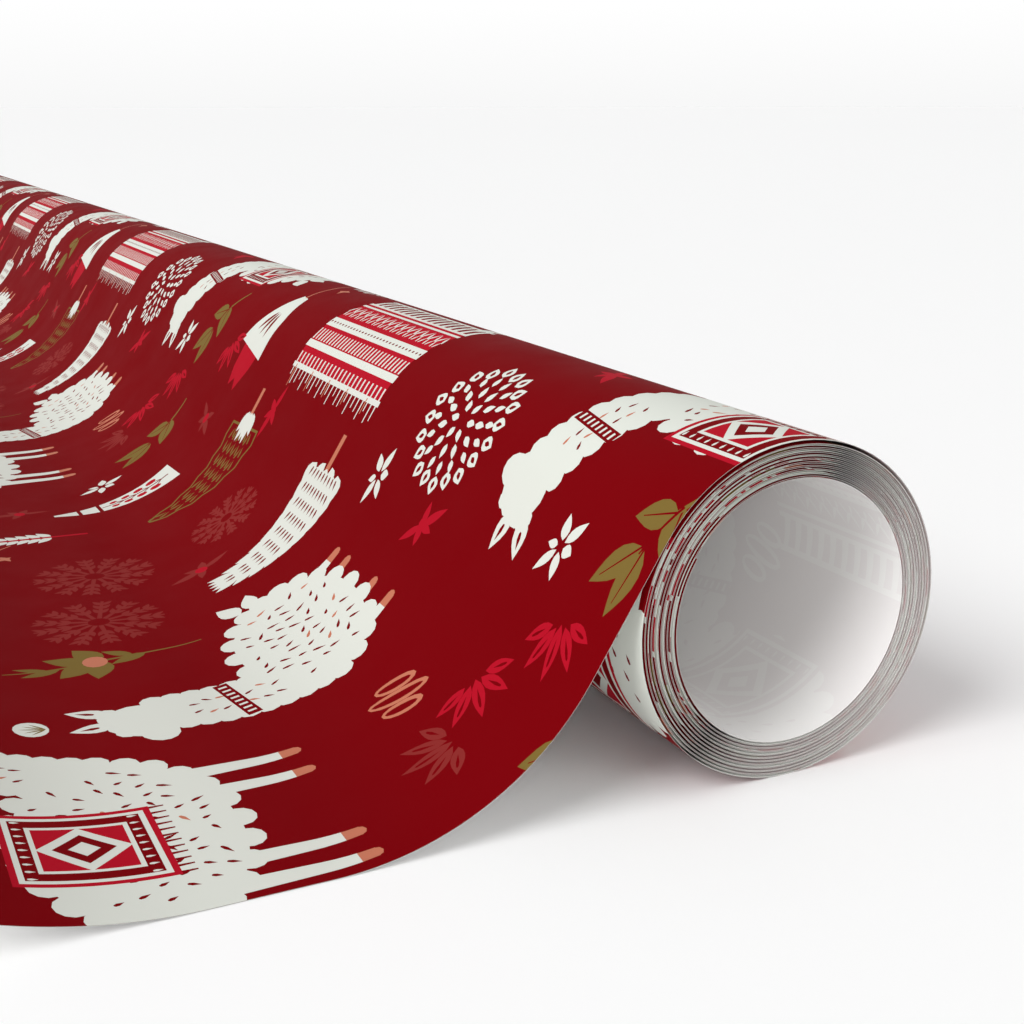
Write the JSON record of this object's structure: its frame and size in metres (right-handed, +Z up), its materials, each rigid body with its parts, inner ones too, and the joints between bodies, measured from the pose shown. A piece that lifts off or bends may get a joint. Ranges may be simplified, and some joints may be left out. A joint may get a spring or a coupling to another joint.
{
  "type": "wrapping paper roll",
  "caption": "Coreless roll of printed wrapping paper with its outer end drawn off, draped to the table and curling up at the free edge.",
  "frame": {"origin": "on the table at the centre of the part's footprint; the roll's axis runs along X, 51 mm towards +Y and 21.8 mm above the table", "axes": "+X along the roll towards the end shown, -Y the way the sheet is drawn off, +Z up"},
  "size_m": [0.762, 0.1456, 0.0437],
  "materials": {
    "print": "satin coated, printed in crimson, off-white, olive and copper",
    "back": "uncoated white back",
    "turns": "printed one side, white cut edges"
  },
  "bodies": {
    "sheet": {"outer_lap": "print", "drape": "print", "laid_strip": "print"},
    "coil": {"turn_01": "back", "turn_02": "turns", "turn_03": "turns", "turn_04": "turns", "turn_05": "turns", "turn_06": "turns", "turn_07": "turns", "turn_08": "turns", "turn_09": "turns", "turn_10": "turns", "turn_11": "turns", "turn_12": "turns", "turn_13": "turns", "turn_14": "turns", "turn_15": "turns", "turn_16": "turns", "turn_17": "turns", "turn_18": "turns", "turn_19": "turns", "turn_20": "turns", "turn_21": "turns"},
    "tail": {"tail": "print"},
    "leading_edge": {"leading_edge": "print"}
  },
  "joints": [
    {"name": "roll_spin", "type": "hinge", "parent": "sheet", "child": "coil", "pos_m": [0, 0.05097, 0.0218], "axis": [1, 0, 0], "continuous": true},
    {"name": "tail_lift", "type": "hinge", "parent": "sheet", "child": "tail", "pos_m": [0, -0.02299, 0.00014], "axis": [-1, 0, 0], "range_deg": [0, 60]},
    {"name": "edge_curl", "type": "hinge", "parent": "tail", "child": "leading_edge", "pos_m": [0, -0.04937, 0.00575], "axis": [-1, 0, 0], "range_deg": [0, 70]}
  ]
}
